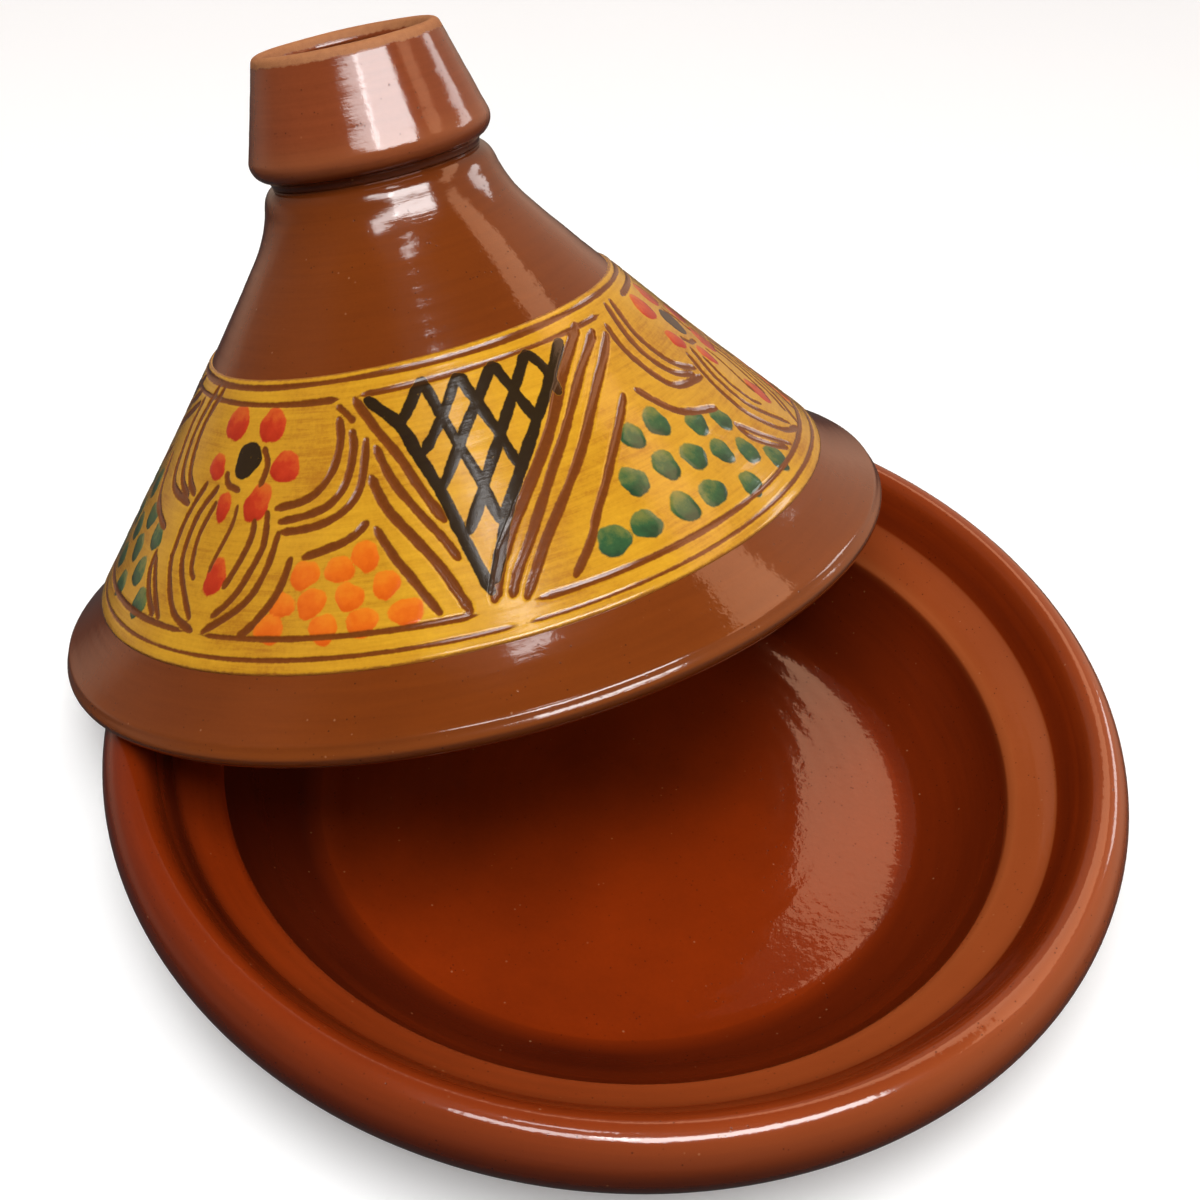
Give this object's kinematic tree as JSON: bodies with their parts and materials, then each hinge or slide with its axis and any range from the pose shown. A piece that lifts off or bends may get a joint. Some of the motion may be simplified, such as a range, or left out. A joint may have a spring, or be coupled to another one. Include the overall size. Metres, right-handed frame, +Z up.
{
  "type": "tagine pot",
  "caption": "Glazed clay cooking pot: a shallow round dish and a conical lid with a hollow knob and a painted slip band, the lid leaning on the dish.",
  "frame": {"origin": "centre of the dish's flat base, on the surface it stands on", "axes": "+Z up along the dish's axis; -Y towards the viewer; the lid leans out towards -X and +Y"},
  "size_m": [0.3262, 0.3271, 0.2084],
  "materials": {
    "dish_glaze": "red-brown transparent glaze over terracotta, very glossy",
    "lid_glaze": "chestnut brown glaze over terracotta, glossy",
    "knob_glaze": "chestnut brown glaze with a bare clay lip",
    "slip": "ochre slip with incised lines and painted spots under a clear glaze"
  },
  "bodies": {
    "dish": {"dish": "dish_glaze"},
    "lid": {"lid_cone": "lid_glaze", "lid_knob": "knob_glaze", "slip_band": "slip"}
  },
  "joints": [
    {"name": "lid_lift", "type": "slide", "parent": "dish", "child": "lid", "axis": [0, 0, 1], "range_m": [0, 0.15]}
  ]
}
